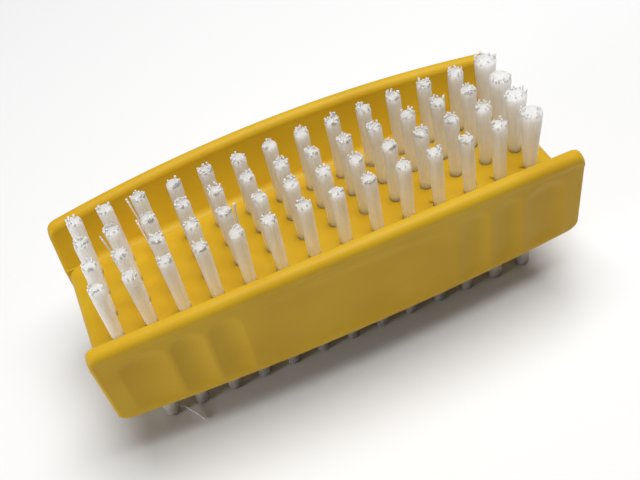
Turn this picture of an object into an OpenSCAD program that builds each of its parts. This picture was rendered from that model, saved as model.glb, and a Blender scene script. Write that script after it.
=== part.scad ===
// Double-sided nail brush: a one-piece moulded body of H section, with bristle tufts on both sides
// of its deck. X runs along the body, Y across it, Z up. The brush stands at z = 0 on the cut
// ends of its lower tufts, and the middle of its length and width is at the origin.

/* [Body] */
// Length of the two side walls
wall_len = 96.6; // [84:0.1:120]
// Width over the rims at the middle of the length
body_w = 42.7; // [36:0.1:50]
// How far each wall bulges outwards between its ends, seen from above
bow = 2.2; // [1:0.1:4]
// How far each rim rises between its ends, seen from the side
arch = 2.75; // [1:0.05:5]
// Height of the rim over the deck at the middle of the length
rim_h = 11; // [9:0.1:14]
// Diameter of the rolled rim along the top of a wall
rim_d = 3.3; // [2.4:0.1:3.8]
// How far the rolled rim stands proud of the wall below it, on each side
rim_lip = 0.15; // [0.05:0.05:0.3]
// Depth of the walls below the underside of the deck
skirt_h = 6.2; // [4:0.1:9]
// Thickness of a wall at its lower edge
skirt_t = 1.9; // [1.4:0.1:2.4]
// Radius of a wall's two lower corners, seen from the side
corner_r = 2.4; // [1:0.1:4]
// Radius of a wall's two upper corners, seen from the side
end_r = 2; // [1:0.1:3]
// Radius of the edges round a wall's two ends
end_edge_r = 0.7; // [0.3:0.05:0.9]
// Draft of the walls' outer faces, in degrees
outer_draft = 4; // [1:0.1:5]
// Draft of the walls' ends, in degrees
end_draft = 1; // [0.3:0.1:2]
// Lean of the walls' inner faces above the deck, in degrees
inner_lean = 27; // [18:0.5:30]
// Radius of the fillets between the deck and the inner faces above it
fillet_r = 2; // [1:0.1:2.5]
// Draft of the walls' inner faces below the deck, in degrees
inner_draft = 1.5; // [0.5:0.1:3]
// Radius of the fillets between the deck and the inner faces below it
under_fillet_r = 1; // [0.4:0.1:2]

/* [Deck] */
// How far each end of the deck stays back from the walls' ends
deck_inset = 0.7; // [0.3:0.1:2]
// Thickness of the deck
deck_t = 6.5; // [6:0.1:9]
// Radius of the deck's rounded end edges
deck_end_r = 2; // [0.5:0.1:3]

/* [Finger grips] */
// Distance between neighbouring ridges
ridge_pitch = 7.1; // [6:0.1:8]
// Width of the land that is left as a ridge between two scoops
ridge_w = 0.8; // [0.4:0.1:1.5]
// Length of the last scoop of a wall
end_scoop_len = 9.6; // [7:0.1:11]
// Distance from the last scoop to the end of the wall
grip_margin = 3.7; // [3:0.1:6]
// Depth of the scoops
scoop_depth = 0.6; // [0.2:0.05:0.8]
// Height of the arch in which a scoop ends at its top, and over which it runs out at its bottom
scoop_run = 3; // [1:0.1:4]
// Distance from the top of the rim down to the scoops
scoop_drop = 3.8; // [3.4:0.1:6]
// Distance from the lower edge of the wall up to the scoops
scoop_rise = 1; // [0.9:0.1:2]

/* [Tufts] */
// Distance between neighbouring tufts of a row
tuft_pitch = 6.5; // [5.8:0.1:8]
// Least distance from the last tuft of a row to the end of the deck
tuft_margin = 5; // [3:0.5:10]
// Gap between the outer rows of lower tufts and the walls beside them, at the ends of the rows
wall_gap = 2.9; // [1.5:0.1:4]
// Length of the upper tufts above the deck
upper_len = 14.5; // [8:0.5:20]
// Length of the lower tufts below the deck
lower_len = 17.9; // [12:0.1:24]
// Diameter of a tuft at its cut end
tuft_tip_d = 3.2; // [2.4:0.1:3.6]
// How unevenly the upper tufts are cut
cut_spread = 0.6; // [0:0.1:1.5]
// Strands that stand for the filaments of one tuft
strands = 4; // [3:1:5]
// Gap between neighbouring strands at the deck
strand_gap = 0.12; // [0.05:0.01:0.2]

/* [Tuft holes and anchors] */
// Diameter of the blind hole that holds a tuft
hole_d = 2.4; // [1.8:0.1:2.5]
// Depth of the hole
hole_depth = 5; // [4:0.1:5.5]
// Clearance between a tuft's folded root and its hole
root_gap = 0.03; // [0.01:0.01:0.08]
// Width of an anchor, which cuts into both sides of the hole
anchor_w = 2.9; // [2.6:0.1:3.1]
// Thickness of an anchor
anchor_t = 0.4; // [0.3:0.05:0.6]
// Height of an anchor
anchor_h = 1.6; // [1:0.1:2]
// Clearance round an anchor
anchor_gap = 0.03; // [0.01:0.01:0.06]
// Thickness of the fold of bristle that lies under an anchor
fold_t = 0.8; // [0.4:0.1:1.2]

/* [Hidden] */
$fa = 1;
$fs = 0.25;
// Steps of a full turn in which the long, shallow arcs are drawn
arc_fn = 256;
upper_rows = 4;
lower_rows = 5;

// Overrun of the cuts
over = 1;
// Depth to which the walls are set into the deck
weld = 0.15;
// Thinnest that a fillet gets towards the ends of the deck, as a share of its radius
least_fillet_share = 0.15;
// Most of a wall's skirt that its corner radius may take, and of its foot that its end edges may
corner_share = 0.6;
edge_share = 0.8;
rim_r = rim_d / 2;
foot_r = skirt_t / 2;
deck_len = wall_len - 2 * deck_inset;
deck_top = lower_len + deck_t;
deck_under = lower_len;
foot_z = deck_under - skirt_h;
rim_top = deck_top + rim_h;

// The rim's centre line at the middle of the length
rim_y = body_w / 2 - rim_r;
rim_z = rim_top - rim_r;

// A circle's radius from its chord and the height of its arc
function arc_r(chord, height) = (chord * chord / 4 + height * height) / (2 * height);
// How far a circle falls away at x from its crest
function fall(r, x) = r - sqrt(r * r - x * x);

bow_r = arc_r(wall_len, bow);
arch_r = arc_r(wall_len, arch);

// The radii of the wall's lower corners and end edges, limited by its skirt
low_corner_r = min(corner_r, corner_share * skirt_h);
edge_r = min(end_edge_r, edge_share * foot_r);

// The wall's outer face and, below the deck, its inner face, at the middle of the length
plate_r = rim_r - rim_lip;
function outer_y(z) = rim_y + plate_r - (rim_z - z) * tan(outer_draft);
under_in_y = outer_y(foot_z) - skirt_t - skirt_h * tan(inner_draft);
function under_y(z) = under_in_y + (deck_under - z) * tan(inner_draft);

// As many tufts as the deck takes, and between them one less in each row underneath
upper_cols = floor((deck_len - 2 * tuft_margin) / tuft_pitch) + 1;
lower_cols = upper_cols - 1;
// The rows share out the width between the walls, down to the gap at the ends of the outer rows
last_tuft_x = (lower_cols - 1) / 2 * tuft_pitch;
outer_row_y = under_in_y - fall(bow_r, last_tuft_x) - wall_gap - tuft_tip_d / 2;
row_pitch = outer_row_y / ((lower_rows - 1) / 2);

// The bow's centre, far on the other side of the body
axis_y = body_w / 2 - bow_r;

function clamp01(v) = min(max(v, 0), 1);
function smooth(v) = let(c = clamp01(v)) c * c * (3 - 2 * c);
// The ridges of one half of a wall, and its scoops: where each begins and ends, from the middle out
last_ridge_x = wall_len / 2 - grip_margin - end_scoop_len;
ridges = [for (i = [2:-1:0]) last_ridge_x - i * ridge_pitch];
scoop_spans = [
    [-ridges[0], ridges[0]],
    [ridges[0], ridges[1]],
    [ridges[1], ridges[2]],
    [ridges[2], ridges[2] + end_scoop_len],
];
// Depth of the scoops at x, each hollow from ridge to ridge, and at a share of the arch's height
function hollow(x, up) = scoop_depth * max([
    for (s = scoop_spans)
        let(middle = (s[0] + s[1]) / 2, half = (s[1] - s[0] - ridge_w) / 2)
            clamp01(1 - pow(abs(abs(x) - abs(middle)) / half, 2) - up * up)
]);

// Where the wall's cross sections lie along one half: close together at ridges and at the end
middle_shares = [0.25, 0.5, 0.75, 0.94, 1];
span_shares = [0, 0.08, 0.27, 0.5, 0.73, 0.92, 1];
end_shares = [0, 0.35, 0.6, 0.75, 0.88, 0.96, 1];
half_stations = concat(
    [for (share = middle_shares) share * (ridges[0] - ridge_w / 2)],
    [for (i = [1:3], share = span_shares)
        let(s = scoop_spans[i]) s[0] + ridge_w / 2 + share * (s[1] - s[0] - ridge_w)],
    [for (share = end_shares) wall_len / 2 - end_r + share * end_r]);
stations = concat(
    [for (i = [len(half_stations) - 1:-1:0]) -half_stations[i]], [0], half_stations);

// Shares of a scoop's run-out and of a fillet, and steps of the rolled rim and of the lower edge
run_shares = [0, 1 / 3, 2 / 3, 1];
fillet_shares = [0, 1 / 3, 2 / 3];
rim_steps = 9;
foot_steps = 4;
// Angle by which the rolled rim turns in past the plane of a face
roll = acos(plate_r / rim_r);
// Length of a fillet along the deck, for each unit of its radius
fillet_reach = tan((90 - inner_lean) / 2);

// Puts a point of the cross section at x in place, by the wall's bow and the draft of its ends
function in_wall(x, p) = [
    x * (1 - (rim_top - p[1]) * tan(end_draft) / (wall_len / 2)),
    p[0] - fall(bow_r, abs(x)),
    p[1],
];

// Cross section of a wall at x, from its outer lower edge up, over the rim and down its inner face
function wall_section(x) =
    let(
        away = abs(x),
        crest = rim_z - fall(arch_r, away),
        rim_c = crest - fall(end_r, max(away - wall_len / 2 + end_r, 0)),
        low = foot_z + fall(low_corner_r, max(away - wall_len / 2 + low_corner_r, 0)),
        inset = fall(edge_r, max(away - wall_len / 2 + edge_r, 0)),
        top = rim_c + rim_r - scoop_drop,
        fillet_share = max(
            clamp01((deck_len / 2 - deck_end_r - away) / under_fillet_r), least_fillet_share),
        levels = concat(
            [low + foot_r],
            [for (share = run_shares) low + scoop_rise + share * scoop_run],
            [(low + scoop_rise + top) / 2],
            [for (share = run_shares) top - (1 - share) * scoop_run]),
        outer = [for (z = levels)
            let(up = clamp01((z - top) / scoop_run + 1))
                [outer_y(z) - inset
                    - hollow(x, up) * smooth((z - low - scoop_rise) / scoop_run), z]],
        rim_cy = outer_y(rim_c) - plate_r,
        rim = [for (i = [0:rim_steps])
            let(a = -roll + i * (180 - inner_lean + 2 * roll) / rim_steps)
                [rim_cy, rim_c] + (rim_r - inset) * [cos(a), sin(a)]],
        foot_in_y = outer_y(crest) - plate_r - plate_r / cos(inner_lean)
            - (crest - deck_top) * tan(inner_lean) + inset,
        bend_r = fillet_r * fillet_share,
        bend_y = foot_in_y - bend_r * fillet_reach,
        bend = [for (share = fillet_shares)
            let(a = -inner_lean - share * (90 - inner_lean))
                [bend_y + bend_r * cos(a), deck_top + bend_r + bend_r * sin(a)]],
        under_r = under_fillet_r * fillet_share,
        under_bend_y = under_in_y + inset - under_r,
        root_z = away > deck_len / 2 - deck_end_r ? deck_under + 2 * weld : deck_top - 2 * weld,
        root = [
            [bend_y, deck_top - weld],
            [bend_y, root_z],
            [under_bend_y, root_z],
            [under_bend_y, deck_under + weld],
        ],
        under = [
            [under_in_y + inset - under_r * (1 - cos(45)), deck_under - under_r * (1 - sin(45))],
            [under_y(deck_under - under_r) + inset, deck_under - under_r],
        ],
        foot_c = [outer_y(low) - foot_r, low + foot_r],
        foot = [for (i = [0:foot_steps - 1])
            let(a = 180 + i * 180 / foot_steps)
                foot_c + (foot_r - inset) * [cos(a), sin(a)]],
        ring = concat(outer, rim, bend, root, under, foot))
    [for (p = ring) in_wall(x, p)];

// The deck runs into the middle of the walls
deck_edge_y = (outer_y(deck_under) + under_in_y) / 2;

// One side wall, lofted through its cross sections, with each end closed round a point inside it
module wall() {
    rings = [for (x = stations) wall_section(x)];
    n = len(rings[0]);
    last = len(rings) - 1;
    hubs = [for (i = [0, last]) in_wall(stations[i], [deck_edge_y, (deck_top + deck_under) / 2])];
    first_hub = len(rings) * n;
    polyhedron(
        concat([for (ring = rings) each ring], hubs),
        concat(
            [for (i = [0:last - 1], j = [0:n - 1])
                let(k = (j + 1) % n, q = i * n)
                    each [[q + j, q + n + j, q + k], [q + k, q + n + j, q + n + k]]],
            [for (j = [0:n - 1])
                let(k = (j + 1) % n, q = last * n)
                    each [[first_hub, j, k], [first_hub + 1, q + k, q + j]]]));
}

// The end edges of the deck are round
module deck() {
    intersection() {
        translate([0, 0, deck_under])
            linear_extrude(deck_t)
                intersection_for(side = [-1, 1])
                    translate([0, side * axis_y])
                        circle(deck_edge_y - axis_y, $fn = arc_fn);
        rotate([90, 0, 0])
            linear_extrude(2 * body_w, center = true)
                union() {
                    translate([-deck_len / 2, deck_under + deck_end_r])
                        square([deck_len, deck_t - 2 * deck_end_r]);
                    translate([deck_end_r - deck_len / 2, deck_under])
                        square([deck_len - 2 * deck_end_r, deck_t]);
                    for (side = [-1, 1], z = [deck_under + deck_end_r, deck_top - deck_end_r])
                        translate([side * (deck_len / 2 - deck_end_r), z])
                            circle(deck_end_r);
                }
    }
}

// Puts its children at every tuft of one row of the upper or lower side, pointing outwards
module along_row(upper, row) {
    cols = upper ? upper_cols : lower_cols;
    rows = upper ? upper_rows : lower_rows;
    y = (row - (rows + 1) / 2) * row_pitch;
    for (col = [1:cols])
        translate([(col - (cols + 1) / 2) * tuft_pitch, y, upper ? deck_top : deck_under])
            mirror([0, 0, upper ? 0 : 1]) {
                $col = col;
                children();
            }
}

// Height of an anchor's lower edge, measured from the mouth of its hole
anchor_z = fold_t - hole_depth;

// The space that a tuft and its anchor take in the deck
module tuft_hole() {
    translate([0, 0, -hole_depth])
        cylinder(h = hole_depth + over, d = hole_d);
    anchor_slot();
}

module anchor_slot() {
    w = anchor_w + 2 * anchor_gap;
    t = anchor_t + 2 * anchor_gap;
    translate([-w / 2, -t / 2, anchor_z - anchor_gap])
        cube([w, t, anchor_h + 2 * anchor_gap]);
}

module anchor() {
    translate([-anchor_w / 2, -anchor_t / 2, anchor_z])
        cube([anchor_w, anchor_t, anchor_h]);
}

module drilled_deck() {
    difference() {
        deck();
        for (row = [1:upper_rows])
            along_row(true, row) tuft_hole();
        for (row = [1:lower_rows])
            along_row(false, row) tuft_hole();
    }
}

module body() {
    color([0.95, 0.74, 0.13]) {
        drilled_deck();
        wall();
        mirror([0, 1, 0]) wall();
    }
}

// Radius of a tuft's folded root, which fills its hole but for a clearance
root_r = hole_d / 2 - root_gap;
// Where the strands part inside the root, as a share of the hole's depth
part_share = 0.16;

// One strand: a wedge of the tuft, from inside its root to a level cut at its end
function wedge(turn, inner, outer, half, z) = [
    [inner * cos(turn), inner * sin(turn), z],
    [outer * cos(turn - half), outer * sin(turn - half), z],
    [outer * cos(turn + half), outer * sin(turn + half), z],
];

module strand(turn, length) {
    root_half = 180 / strands - asin(strand_gap / root_r);
    polyhedron(
        concat(
            wedge(turn, strand_gap, root_r - strand_gap / 2, root_half, -part_share * hole_depth),
            wedge(turn, 2 * strand_gap, tuft_tip_d / 2, root_half, length)),
        [[0, 1, 2], [5, 4, 3], [0, 3, 4], [0, 4, 1], [1, 4, 5], [1, 5, 2], [2, 5, 3], [2, 3, 0]]);
}

// One tuft: its root folded round the anchor at the bottom of the hole, and its strands
module tuft(length, spread, seed) {
    cuts = rands(-spread, 0, strands, seed);
    first_turn = rands(0, 360, 1, seed)[0];
    difference() {
        translate([0, 0, root_gap - hole_depth])
            cylinder(h = hole_depth - root_gap, r = root_r);
        anchor_slot();
    }
    for (i = [0:strands - 1])
        strand(first_turn + i * 360 / strands, length + cuts[i]);
}

module upper_tufts(row) {
    color([0.93, 0.92, 0.88])
        along_row(true, row)
            tuft(upper_len, cut_spread, row * upper_cols + $col);
}

// The lower tufts are cut level, so that the brush can stand on them
module lower_tufts(row) {
    color([0.93, 0.92, 0.88])
        along_row(false, row)
            tuft(lower_len, 0, row * lower_cols + $col);
}

module upper_anchors(row) {
    color("silver")
        along_row(true, row) anchor();
}

module lower_anchors(row) {
    color("silver")
        along_row(false, row) anchor();
}

body();
upper_tufts(1);  // upper_tufts_row_1
upper_tufts(2);  // upper_tufts_row_2
upper_tufts(3);  // upper_tufts_row_3
upper_tufts(4);  // upper_tufts_row_4
lower_tufts(1);  // lower_tufts_row_1
lower_tufts(2);  // lower_tufts_row_2
lower_tufts(3);  // lower_tufts_row_3
lower_tufts(4);  // lower_tufts_row_4
lower_tufts(5);  // lower_tufts_row_5
upper_anchors(1);  // upper_anchors_row_1
upper_anchors(2);  // upper_anchors_row_2
upper_anchors(3);  // upper_anchors_row_3
upper_anchors(4);  // upper_anchors_row_4
lower_anchors(1);  // lower_anchors_row_1
lower_anchors(2);  // lower_anchors_row_2
lower_anchors(3);  // lower_anchors_row_3
lower_anchors(4);  // lower_anchors_row_4
lower_anchors(5);  // lower_anchors_row_5
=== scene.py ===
import math

import bpy
import numpy as np
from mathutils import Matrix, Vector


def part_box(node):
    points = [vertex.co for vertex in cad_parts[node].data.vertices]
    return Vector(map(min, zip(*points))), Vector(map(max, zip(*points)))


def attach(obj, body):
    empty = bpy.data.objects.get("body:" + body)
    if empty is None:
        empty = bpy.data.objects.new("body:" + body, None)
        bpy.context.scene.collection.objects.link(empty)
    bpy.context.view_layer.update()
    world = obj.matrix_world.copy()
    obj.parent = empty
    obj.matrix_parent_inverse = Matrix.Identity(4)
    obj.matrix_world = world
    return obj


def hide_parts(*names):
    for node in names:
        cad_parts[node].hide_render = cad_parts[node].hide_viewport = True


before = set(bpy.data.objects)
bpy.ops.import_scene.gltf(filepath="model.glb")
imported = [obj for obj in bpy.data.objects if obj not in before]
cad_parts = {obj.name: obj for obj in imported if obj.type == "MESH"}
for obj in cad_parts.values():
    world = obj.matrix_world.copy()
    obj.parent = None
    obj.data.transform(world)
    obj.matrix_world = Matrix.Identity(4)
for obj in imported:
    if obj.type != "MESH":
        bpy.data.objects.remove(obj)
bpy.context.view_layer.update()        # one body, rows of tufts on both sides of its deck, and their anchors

# The body: one moulding of yellow polypropylene, of H section. Two side walls bow outwards and arch
# upwards, each with a rolled rim along its top, scoops for the fingertips outside, and an inner
# face that leans back from the deck. It comes out of the mould with a satin sheen and soft edges.
MM = 0.001
low_corner, high_corner = (np.array(corner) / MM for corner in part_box("body"))
wall_len = 96.6
body_w = 42.7
rim_top = high_corner[2]
foot_z = low_corner[2]
deck_top = 24.4
deck_under = 17.9
bow = 2.2
arch = 2.75
rim_r = 1.65
plate_r = 1.5               # half the wall's thickness under its rim
skirt_t = 1.9               # thickness of the wall below the deck
corner_r = 2.4
end_r = 2.0
end_edge_r = 0.7
outer_slope = math.tan(math.radians(4))
under_slope = math.tan(math.radians(1.5))
end_slope = math.tan(math.radians(1))
lean = math.radians(27)
fillet_r = 2.0
under_fillet_r = 1.0
least_flare = 0.15          # the share of the fillets that is left at the deck's ends
deck_len = 95.2
deck_end_r = 2.0
weld = 0.15                 # how far walls and deck run into each other
rim_y = body_w / 2 - rim_r
rim_z = rim_top - rim_r
bow_r = (wall_len**2 / 4 + bow**2) / (2 * bow)
arch_r = (wall_len**2 / 4 + arch**2) / (2 * arch)


def fall(radius, away):
    """How far a circle falls away from its crest."""
    return radius - np.sqrt(radius**2 - away**2)


def outer_y(z):
    """Where the outer face of a wall lies at height z, before the wall is bowed."""
    return rim_y + plate_r - (rim_z - z) * outer_slope


under_in_y = outer_y(foot_z) - skirt_t - (deck_under - foot_z) * under_slope
deck_edge_y = (outer_y(deck_under) + under_in_y) / 2

# The scoops in the outer face of a wall: three short ones at each end and a long one between them
ridge_pitch = 7.1
ridge_w = 0.8
grip_margin = 3.7
end_scoop_len = 9.6
last_ridge_x = wall_len / 2 - grip_margin - end_scoop_len
first_ridge_x = last_ridge_x - 2 * ridge_pitch
scoop_depth = 0.6
scoop_drop = 3.8
scoop_rise = 1.0
scoop_run = 3.0
edge_softness = 0.08
scoops = [(0, 2 * first_ridge_x)]
scoops += [(first_ridge_x + (i + 0.5) * ridge_pitch, ridge_pitch) for i in range(2)]
scoops += [(last_ridge_x + end_scoop_len / 2, end_scoop_len)]


def scoop_depth_at(away, z, top, low):
    """Depth of the scoops: each is hollow from ridge to ridge and ends in an arch under the rim."""
    up = np.clip((z - top) / scoop_run + 1, 0, None)
    down = np.clip((z - low - scoop_rise) / scoop_run, 0, 1)
    depth = 0
    for middle, span in scoops:
        across = np.abs(away - middle) / ((span - ridge_w) / 2)
        hollow = 1 - across**2 - up**2
        hollow = (hollow + np.sqrt(hollow**2 + edge_softness**2)) / 2
        depth = np.maximum(depth, scoop_depth * np.minimum(hollow, 1))
    return depth * down**2 * (3 - 2 * down)


def wall_rings(stations, face_steps, bend_steps):
    """Cross sections of the wall, one for each x, as an array of rings of points."""
    away = np.abs(stations)[:, None]

    def end_fall(radius):
        return fall(radius, np.clip(away - wall_len / 2 + radius, 0, radius))

    crest = rim_z - fall(arch_r, away)
    rim_c = crest - end_fall(end_r)
    low = foot_z + end_fall(corner_r)
    inset = end_fall(end_edge_r)
    roll = math.acos(plate_r / rim_r)

    share = np.linspace(0, 1, face_steps)[None, :-1]
    foot_r = skirt_t / 2
    face_low, face_high = low + foot_r, rim_c - (rim_r - inset) * math.sin(roll)
    z = face_low + share * (face_high - face_low)
    y = outer_y(z) - inset - scoop_depth_at(away, z, rim_c + rim_r - scoop_drop, low)
    outer = [y, z]

    angle = np.linspace(-roll, math.pi - lean + roll, 2 * bend_steps)[None, :]
    rim = [outer_y(rim_c) - plate_r + (rim_r - inset) * np.cos(angle),
           rim_c + (rim_r - inset) * np.sin(angle)]

    # The fillets run out where the deck's ends turn down
    flare = np.clip((deck_len / 2 - deck_end_r - away) / under_fillet_r, least_flare, 1)
    foot_in_y = (outer_y(crest) - plate_r - plate_r / math.cos(lean)
                 - (crest - deck_top) * math.tan(lean) + inset)
    radius = fillet_r * flare
    bend_y = foot_in_y - radius * math.tan((math.pi / 2 - lean) / 2)
    angle = np.linspace(-lean, -math.pi / 2, bend_steps)[None, :-1]
    bend = [bend_y + radius * np.cos(angle), deck_top + radius + radius * np.sin(angle)]
    radius = under_fillet_r * flare
    inner = under_in_y + inset
    past_deck = away > deck_len / 2 - deck_end_r
    root_z = np.where(past_deck, deck_under + 2 * weld, deck_top - 2 * weld)
    root = [np.concatenate([bend_y, bend_y, inner - radius, inner - radius], 1),
            np.concatenate([0 * root_z + deck_top - weld, root_z, root_z,
                            0 * root_z + deck_under + weld], 1)]
    angle = np.linspace(math.pi / 2, 0, bend_steps)[None, 1:]
    under = [inner - radius * (1 - np.cos(angle)), deck_under - radius * (1 - np.sin(angle))]

    angle = np.linspace(math.pi, 2 * math.pi, bend_steps)[None, :-1]
    foot = [outer_y(low) - foot_r + (foot_r - inset) * np.cos(angle),
            low + foot_r + (foot_r - inset) * np.sin(angle)]

    y, z = (np.concatenate(part, 1) for part in zip(outer, rim, bend, root, under, foot))
    x = stations[:, None] * (1 - (rim_top - z) * end_slope / (wall_len / 2))
    return np.stack([x, y - fall(bow_r, away), z], -1)


def new_piece(name, points, faces):
    """A mesh object from points in millimetres."""
    mesh = bpy.data.meshes.new(name)
    mesh.from_pydata((np.asarray(points) * MM).tolist(), [], faces)
    mesh.validate()
    piece = bpy.data.objects.new(name, mesh)
    bpy.context.scene.collection.objects.link(piece)
    return piece


def skin(rings):
    """Points and faces of the closed loft through an array of rings."""
    count, around = rings.shape[:2]
    index = np.arange(count * around).reshape(count, around)
    start, after = index[:-1], index[1:]
    quads = np.stack([start, np.roll(start, -1, 1), np.roll(after, -1, 1), after], -1)
    ends = [index[0][::-1].tolist(), index[-1].tolist()]
    return rings.reshape(-1, 3), quads.reshape(-1, 4).tolist() + ends


# More sections at the ends, where the walls' corners and edges are round
end_zone = 3.0
end_sections = 26
span_sections = 150
end_steps = np.sin(np.linspace(0, math.pi / 2, end_sections))[1:]
half = np.concatenate([np.linspace(0, wall_len / 2 - end_zone, span_sections),
                       wall_len / 2 - end_zone * (1 - end_steps)])
stations = np.concatenate([-half[:0:-1], half])
rings = wall_rings(stations, face_steps=40, bend_steps=10)
points, faces = skin(rings[:, ::-1])
far_wall = new_piece("far_wall", points, faces)
points, faces = skin(rings * [1, -1, 1])
near_wall = new_piece("near_wall", points, faces)

# The deck, drawn as its outline seen from the side and carried across between the walls' middles
corner_steps = 9
deck_sections = 61
corner = np.linspace(0, math.pi / 2, corner_steps)
outline = []
for i, (side, end) in enumerate([(1, 1), (-1, 1), (-1, -1), (1, -1)]):
    angle = corner + i * math.pi / 2
    x = side * (deck_len / 2 - deck_end_r) + deck_end_r * np.cos(angle)
    z = (deck_top + deck_under) / 2 + end * (deck_top - deck_under - 2 * deck_end_r) / 2
    outline += list(zip(x, z + deck_end_r * np.sin(angle)))
along = np.linspace(-deck_len / 2 + deck_end_r, deck_len / 2 - deck_end_r, deck_sections)[1:-1]
top_line = [(x, deck_top) for x in along[::-1]]
under_line = [(x, deck_under) for x in along]
outline = np.array(outline[:corner_steps] + top_line + outline[corner_steps:3 * corner_steps]
                   + under_line + outline[3 * corner_steps:])
reach = deck_edge_y - fall(bow_r, np.abs(outline[:, 0]))
deck_rings = np.stack([
    np.stack([outline[:, 0], share * reach, outline[:, 1]], -1) for share in (-1, 0, 1)])
points, faces = skin(deck_rings)
body = new_piece("body_moulding", points, faces)

# A blind hole for each tuft, with a softened mouth
tuft_pitch = 6.5
row_pitch = 5.831
hole_r = 1.2
hole_depth = 5.0
hole_sides = 24
mouth = 0.12
overrun = 1.0
sides = {
    "upper": {"cols": 14, "rows": 4, "z": deck_top, "out": 1},
    "lower": {"cols": 13, "rows": 5, "z": deck_under, "out": -1},
}


def tuft_places(side, row):
    """Where the tufts of one row stand, as points on the deck."""
    grid = sides[side]
    x = (np.arange(grid["cols"]) - (grid["cols"] - 1) / 2) * tuft_pitch
    y = (row - (grid["rows"] - 1) / 2) * row_pitch
    return [np.array([place, y, grid["z"]]) for place in x]


hole_profile = [(hole_r, -hole_depth), (hole_r, -mouth),
                (hole_r + mouth, 0), (hole_r + mouth, overrun)]
turns = np.linspace(0, 2 * math.pi, hole_sides + 1)[:-1]
drill_points, drill_faces = [], []
for name, grid in sides.items():
    for row in range(grid["rows"]):
        for place in tuft_places(name, row):
            hole = np.stack([
                place + np.stack([r * np.cos(turns), grid["out"] * r * np.sin(turns),
                                  np.full(len(turns), grid["out"] * z)], -1)
                for r, z in hole_profile])
            points, faces = skin(hole)
            drill_faces += [[i + len(drill_points) for i in face] for face in faces]
            drill_points += points.tolist()
drill = new_piece("drill", drill_points, drill_faces)

for tool, operation in [(drill, "DIFFERENCE"), (near_wall, "UNION"), (far_wall, "UNION")]:
    bpy.context.view_layer.objects.active = body
    cut = body.modifiers.new(tool.name, "BOOLEAN")
    cut.object = tool
    cut.operation = operation
    cut.solver = "MANIFOLD"
    bpy.ops.object.modifier_apply(modifier=cut.name)
    bpy.data.objects.remove(tool)
body_crease = math.radians(32)
body.data.shade_smooth()
body.data.set_sharp_from_angle(angle=body_crease)


class Socket:
    """A socket of a material's nodes. Sums and products of sockets add the Math nodes they need."""

    def __init__(self, finish, socket):
        self.finish = finish
        self.socket = socket

    def calc(self, operation, *terms):
        return self.finish.node("ShaderNodeMath", {"operation": operation}, dict(enumerate(terms)))

    def __add__(self, other):
        return self.calc("ADD", self, other)

    __radd__ = __add__

    def __mul__(self, other):
        return self.calc("MULTIPLY", self, other)

    __rmul__ = __mul__

    def between(self, low, high):
        """0 below low, 1 above high, and smooth between them."""
        return self.finish.node(
            "ShaderNodeMapRange", {"interpolation_type": "SMOOTHSTEP"},
            {"Value": self, "From Min": low, "From Max": high})


class Finish:
    """A material with a Principled surface, and the nodes that feed it."""

    def __init__(self, name, **constants):
        self.material = bpy.data.materials.new(name)
        self.material.use_nodes = True
        self.tree = self.material.node_tree
        self.surface = self.tree.nodes["Principled BSDF"]
        self.feed(**constants)

    def node(self, kind, settings, sockets, output=0):
        """A new node, its settings set first, with values or links at its sockets."""
        made = self.tree.nodes.new(kind)
        for name, value in settings.items():
            setattr(made, name, value)
        for name, value in sockets.items():
            self.join(made.inputs[name], value)
        return Socket(self, made.outputs[output])

    def join(self, target, value):
        if isinstance(value, Socket):
            self.tree.links.new(value.socket, target)
        else:
            target.default_value = value

    def feed(self, **sockets):
        """Sets or links sockets of the surface, each named with _ for a space."""
        for name, value in sockets.items():
            self.join(self.surface.inputs[name.replace("_", " ")], value)

    def place(self):
        """The place on the object, in metres."""
        return self.node("ShaderNodeTexCoord", {}, {}, "Object")

    def noise(self, scale, detail, roughness=0.5, where=None):
        return self.node("ShaderNodeTexNoise", {}, {
            "Vector": where or self.place(), "Scale": scale, "Detail": detail,
            "Roughness": roughness})

    def mix(self, factor, first, second):
        """A colour between two, which go into the node's sockets 6 and 7."""
        return self.node("ShaderNodeMix", {"data_type": "RGBA"}, {0: factor, 6: first, 7: second}, 2)

    def bump(self, height, distance):
        return self.node("ShaderNodeBump", {}, {"Height": height, "Distance": distance})


yellow = (0.61, 0.38, 0.018, 1)
yellow_deep = (0.55, 0.32, 0.012, 1)
satin = 0.36
flow_rough = 0.1
grain_rough = 0.06
grain_height = 0.01 * MM
plastic = Finish("yellow_plastic", IOR=1.49, Specular_IOR_Level=0.15, Subsurface_Weight=0.12,
                 Subsurface_Scale=0.002, Subsurface_Radius=(1.0, 0.55, 0.1))
flow = plastic.noise(scale=45, detail=3)
grain = plastic.noise(scale=2600, detail=2, roughness=0.6)
plastic.feed(
    Base_Color=plastic.mix(flow.between(0.3, 0.75), yellow, yellow_deep),
    Roughness=satin + flow_rough * flow + grain_rough * grain,
    Normal=plastic.bump(grain, grain_height))
body.data.materials.clear()
body.data.materials.append(plastic.material)
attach(body, "root")
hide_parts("body")


def tube(path, radius):
    """Points and faces of a closed tube along a path, its radius given all round each point."""
    ways = np.gradient(path, axis=0)
    ways /= np.linalg.norm(ways, axis=1, keepdims=True)
    side = np.cross(ways, [0, 1, 0])
    side /= np.linalg.norm(side, axis=1, keepdims=True)
    angle = np.linspace(0, 2 * math.pi, radius.shape[1] + 1)[:-1, None]
    turned = np.cos(angle) * side[:, None] + np.sin(angle) * np.cross(side, ways)[:, None]
    return skin(path[:, None] + radius[..., None] * turned)


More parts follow.
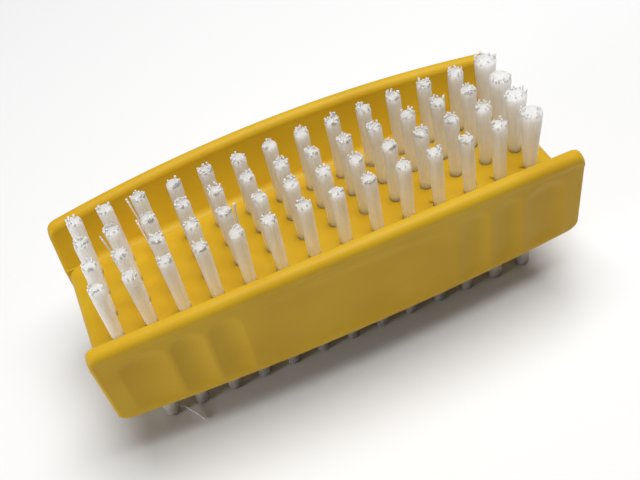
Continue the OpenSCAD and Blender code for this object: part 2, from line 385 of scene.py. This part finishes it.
# Whiskers of the body's own plastic, torn up by the drill at the mouths of a few holes beside the
# near wall and left on. Each has the column and row of its hole, and the way that it points, in
# degrees from the right towards the far wall.
whisker_sides = 6
whisker_r = [0.16, 0.13, 0.05]
whisker_rise = [(0, -0.05), (0.5, 0.25), (1.1, 0.7)]       # out from the hole, and up from the deck
whiskers = [(11, 0, 25), (12, 0, 150), (12, 0, 40), (10, 0, 140), (13, 0, 165), (1, 0, 120)]
for i, (col, row, degrees) in enumerate(whiskers):
    way = np.array([math.cos(math.radians(degrees)), math.sin(math.radians(degrees))])
    root = tuft_places("upper", row)[col]
    path = [root + [*(hole_r + out) * way, up] for out, up in whisker_rise]
    points, faces = tube(np.array(path), np.repeat(np.array(whisker_r)[:, None], whisker_sides, 1))
    whisker = new_piece(f"whisker_{i + 1}", points, faces)
    whisker.data.shade_smooth()
    whisker.data.materials.append(plastic.material)
    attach(whisker, "root")

# The tufts: bundles of white nylon filament, folded in the middle round an anchor and pushed into
# the holes of the deck. They widen towards their cut ends, where the filaments come free of each
# other, and here and there a few have strayed from their bundle.
filament_r = 0.2
filament_sides = 6
# The free ends stand in rings: their number, share of the tuft's radius, and drop below its end
filament_rings = [(20, 0.96, 0.65), (12, 0.66, 0.4)]
free_len = 0.6
cut_tilt = 0.25
tilt_height = 0.3
high_chance = 0.35          # that an end stands above the rest
bunch_chance = 0.5          # and as much more on the side where such ends bunch
high_rise = 0.4
rise_range = (0.3, 1.2)
tip_shift = 0.04
thickness_range = (0.9, 1.1)
stray_r = 0.9 * filament_r
stray_apart = 0.22
stray_shares = [0.3, 0.6, 0.8, 1]
# A bundle, its grooves between filaments, and the dome at its end: depth and share of the radius
groove = 0.015
root_depth = 0.8
bundle_inset = 0.03
bundle_sections = 6
lean_power = 1.5
dome = [(0.6, 1.0), (0.3, 0.95), (0.1, 0.8), (0.0, 0.45)]
rand = np.random.default_rng(4)


class Tuft:
    """One tuft: where it stands, how long it is, how it leans and how wide it gets."""

    def __init__(self, place, out, length, lean, tip_r):
        self.place = place
        self.out = out
        self.length = length
        self.lean = lean
        self.tip_r = tip_r

    def radius(self, z):
        return hole_r + (self.tip_r - hole_r) * np.clip(z / self.length, 0, None)

    def line(self, z, way=(0, 0), reach=1.0):
        """The line of a filament at heights z, at a share of the tuft's radius to one side."""
        share = np.clip(z / self.length, 0, None)[:, None]
        aside = np.array(way) * (self.radius(z)[:, None] - filament_r) * (1 + (reach - 1) * share)
        return self.place + np.hstack([self.lean * share**lean_power + aside, self.out * z[:, None]])

    def bundle(self):
        """The part in which the filaments lie against each other, as one grooved solid."""
        drops, shares = np.transpose(dome)
        z = np.concatenate([[-root_depth], np.linspace(0, self.length - 2 * drops[0], bundle_sections),
                            self.length - drops])
        radius = self.radius(z) - bundle_inset
        radius[-len(shares):] *= shares
        ridges = np.cos(np.arange(4 * filament_rings[0][0]) * math.pi / 2)
        return tube(self.line(z), radius[:, None] * (1 + groove * ridges))

    def tips(self, ragged):
        """The free ends of the filaments, cut a little askew and at uneven heights."""
        made = []
        tilt = rand.normal(0, cut_tilt, 2)
        bunch = rand.uniform(0, 2 * math.pi)
        for count, ring, drop in filament_rings:
            for i in range(count):
                angle = i * 2 * math.pi / count
                way = ring * np.array([math.cos(angle), math.sin(angle)])
                top = self.length + tilt_height * tilt @ way - drop
                in_bunch = max(math.cos(angle - bunch), 0)
                if rand.random() < ring * (high_chance + bunch_chance * in_bunch**2):
                    top += high_rise + ragged * ring * rand.uniform(*rise_range)
                z = np.array([self.length - 2 * free_len, self.length - free_len, top])
                path = self.line(z, way)
                path[-1, :2] += rand.normal(0, tip_shift, 2)
                thick = filament_r * rand.uniform(*thickness_range)
                made.append(tube(path, np.full((len(path), filament_sides), thick)))
        return made

    def strays(self, angle, reach, above):
        """Two filaments that have strayed from the tuft to one side."""
        made = []
        for apart in (0, stray_apart):
            way = np.array([math.cos(angle + apart), math.sin(angle + apart)])
            path = self.line(np.array(stray_shares) * (self.length + above - 2 * apart), way, reach)
            made.append(tube(path, np.full((len(path), filament_sides), stray_r)))
        return made


def row_piece(name, parts, finish):
    """One piece from the tubes of a row of tufts, with nothing below what the brush stands on."""
    points, faces = [], []
    for new_points, new_faces in parts:
        faces += [[n + len(points) for n in face] for face in new_faces]
        points += new_points.tolist()
    row = new_piece(name, np.maximum(points, [-math.inf, -math.inf, 0]), faces)
    row.data.shade_smooth()
    row.data.set_sharp_from_angle(angle=math.radians(60))
    row.data.materials.append(finish.material)
    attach(row, "root")
    return row


# Light soaks far into a bundle along its filaments, and less far into a free end. The ends of the lower
# tufts are painted grey as painted shade, the shade under the body, up to a height in metres that leaves the
# strays unpainted.
nylon_dull = (0.86, 0.835, 0.775)
nylon_bright = (0.92, 0.90, 0.86)
painted_shade_grey = (0.33, 0.30, 0.26, 1)
painted_shade_fade = 0.009
painted_shade_wander = 0.004
cloud_share = 0.35
lengthwise_stretch = (1, 1, 0.03)
streak_height = 0.2 * MM
nylon = {}
# Each part's colour is scaled by a brightness of its own, as painted light: the free ends a little darker
# against the light on their tops, the strays a little lighter against the shade where they stand.
for part, soak, painted_shade_top, shade in [("bundles", 0.010, 0.013, 1.05), ("tips", 0.0015, 0.013, 0.95),
                                   ("strays", 0.0006, -1.0, 1.08)]:
    finish = Finish("nylon_" + part, Roughness=0.55, IOR=1.5, Specular_IOR_Level=0.25,
                    Subsurface_Weight=1.0, Subsurface_Scale=soak,
                    Subsurface_Radius=(1.0, 0.97, 0.9))
    place = finish.place()
    height = finish.node("ShaderNodeSeparateXYZ", {}, {"Vector": place}, "Z")
    lengthwise = finish.node("ShaderNodeVectorMath", {"operation": "MULTIPLY"}, {
        0: place, 1: lengthwise_stretch})
    cloudy = finish.noise(scale=350, detail=3, roughness=0.6)
    streaks = finish.noise(scale=3000, detail=2, roughness=0.6, where=lengthwise)
    # Painted shade: below this height the nylon turns grey, on the lower tufts' ends
    above_painted_shade = (height + painted_shade_wander * cloudy).between(painted_shade_top - painted_shade_fade, painted_shade_top)
    streaky = (cloud_share * cloudy + (1 - cloud_share) * streaks).between(0.35, 0.6)
    dull, bright = ([shade * c for c in colour] + [1] for colour in (nylon_dull, nylon_bright))
    finish.feed(
        Base_Color=finish.mix(above_painted_shade, painted_shade_grey, finish.mix(streaky, dull, bright)),
        Normal=finish.bump(streaks, streak_height))
    nylon[part] = finish

# The upper tufts. Some filaments strayed: the row and column of their tuft, and their way, reach
# and height above its end. The tufts at the two ends lean outwards, those at the right end most,
# and the four rows are cut at slightly different lengths.
upper_len = 14.15
row_trim = [-0.6, -0.3, 0, 0.3]
upper_tip_r = 1.5
upper_lean = 0.14
upper_ragged = 0.8
to_left, to_right = math.pi, 0.0
strays = {
    (3, 2): (to_left, 1.6, 0.3),
    (2, 2): (to_left, 1.6, 0.2),
    (2, 1): (to_left, 1.8, -0.5),
    (1, 4): (to_right, 1.7, 0.6),
    (2, 11): (to_right, 1.1, 0.8),
}
end_lean = {0: 0.25, 1: -0.4, 2: -0.2, 12: 0.2, 13: 0.45}
end_tip_r = {12: 1.6, 13: 2.25}
stray_filaments = []
for row in range(sides["upper"]["rows"]):
    bundles, tips = [], []
    for col, place in enumerate(tuft_places("upper", row)):
        lean = rand.normal(0, upper_lean, 2) + [end_lean.get(col, 0), 0]
        tuft = Tuft(place, 1, upper_len + row_trim[row], lean, end_tip_r.get(col, upper_tip_r))
        bundles.append(tuft.bundle())
        tips += tuft.tips(upper_ragged)
        if (row, col) in strays:
            stray_filaments += tuft.strays(*strays[row, col])
    bundles = row_piece(f"upper_bundles_row_{row + 1}", bundles, nylon["bundles"])
    row_piece(f"upper_tips_row_{row + 1}", tips, nylon["tips"])
    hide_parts(f"upper_tufts_row_{row + 1}")

# The lower tufts: longer bundles of the same filament, cut level, on which the brush stands. They
# are set like the upper ones, and their rows lean a little towards the middle.
lower_cut_z = 0.1
lower_tip_r = 1.45
lower_lean = 0.1
lower_ragged = 0.15
lean_in = 0.09
for row in range(sides["lower"]["rows"]):
    bundles, tips = [], []
    for place in tuft_places("lower", row):
        lean = rand.normal(0, lower_lean, 2) - [0, lean_in * place[1]]
        tuft = Tuft(place, -1, deck_under - lower_cut_z, lean, lower_tip_r)
        bundles.append(tuft.bundle())
        tips += tuft.tips(lower_ragged)
    bundles = row_piece(f"lower_bundles_row_{row + 1}", bundles, nylon["bundles"])
    row_piece(f"lower_tips_row_{row + 1}", tips, nylon["tips"])
    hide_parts(f"lower_tufts_row_{row + 1}")

# Two filaments of the tuft at the left end that have bent out from under the near wall, by the
# points that they pass through. They make one piece with the filaments that strayed above.
bent_r = 0.75 * filament_r
bent_sides = 8
bent = [[(-39.6, -10.4, 6), (-39.5, -10.2, 3), (-38.6, -10.3, 1.2), (-36.6, -11.4, 0.9),
         (-34.9, -13.8, 0.5), (-33.8, -15.7, 0.25)],
        [(-39.9, -10.2, 6), (-40.3, -9.9, 2.5), (-40.6, -9.6, 1.0), (-40.3, -9.4, 0.3)]]
for path in bent:
    stray_filaments.append(tube(np.array(path, float), np.full((len(path), bent_sides), bent_r)))
row_piece("stray_filaments", stray_filaments, nylon["strays"])

# The anchors: flat bits of drawn steel wire, driven into the holes over the folds of the tufts.
# They are hidden inside the deck.
steel_dark = (0.55, 0.54, 0.52, 1)
steel_light = (0.68, 0.67, 0.65, 1)
least_rough = 0.28
drawn_rough = 0.2
steel = Finish("anchor_steel", Metallic=1.0)
drawn = steel.noise(scale=900, detail=2)
steel.feed(Base_Color=steel.mix(drawn, steel_dark, steel_light),
           Roughness=least_rough + drawn_rough * drawn)
for name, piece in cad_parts.items():
    if "anchors" in name:
        piece.data.materials.clear()
        piece.data.materials.append(steel.material)

# The stage: a plain pale floor under weak light from all round, with a broad soft lamp high above,
# a little to the right, and a small weaker one low at the left.
floor_size = 6
floor_finish = Finish("floor_white", Roughness=0.9, Base_Color=(0.82, 0.82, 0.82, 1))
bpy.ops.mesh.primitive_plane_add(size=floor_size)
floor = bpy.context.object
floor.name = "floor"
floor.data.materials.append(floor_finish.material)

world = bpy.data.worlds.new("studio")
bpy.context.scene.world = world
world.use_nodes = True
world.node_tree.nodes["Background"].inputs["Color"].default_value = (1, 1, 1, 1)
world.node_tree.nodes["Background"].inputs["Strength"].default_value = 0.05
lit_point = np.array([0, 0, 0.02])
for name, place, size, power in [
    ("key", (0.10, 0.03, 0.60), 0.45, 4.75),
    ("side", (-0.60, -0.12, 0.12), 0.15, 1.5),
]:
    lamp = bpy.data.lights.new(name, "AREA")
    lamp.size = size
    lamp.energy = power
    light = bpy.data.objects.new(name, lamp)
    light.location = place
    light.rotation_mode = "QUATERNION"
    light.rotation_quaternion = Vector(lit_point - np.array(place)).to_track_quat("-Z", "Y")
    bpy.context.scene.collection.objects.link(light)

# The camera: above and in front of the brush, 18 cm from it and turned about its own line of
# sight, where the grid of the tufts and the body's edges put it.
azimuth, elevation, roll = map(math.radians, (-12.312, 46.142, -13.442))
distance = 179.533 * MM
look_at = np.array([-2.286, -11.327, 30.4]) * MM
focal_px = 990.883
image_w = 640
back = np.array([math.sin(azimuth) * math.cos(elevation),
                 -math.cos(azimuth) * math.cos(elevation), math.sin(elevation)])
right = np.cross([0, 0, 1], back)
right /= np.linalg.norm(right)
up = np.cross(back, right)
right, up = (right * math.cos(roll) + up * math.sin(roll),
             up * math.cos(roll) - right * math.sin(roll))
lens = bpy.data.cameras.new("camera")
lens.sensor_width = 36
lens.lens = focal_px / image_w * lens.sensor_width
lens.clip_start = 0.01
camera = bpy.data.objects.new("camera", lens)
camera.matrix_world = Matrix([
    [*row, place] for row, place in zip(np.stack([right, up, back], 1), look_at + back * distance)
] + [[0, 0, 0, 1]])
bpy.context.scene.collection.objects.link(camera)
bpy.context.scene.camera = camera
bpy.context.scene.view_settings.view_transform = "Standard"
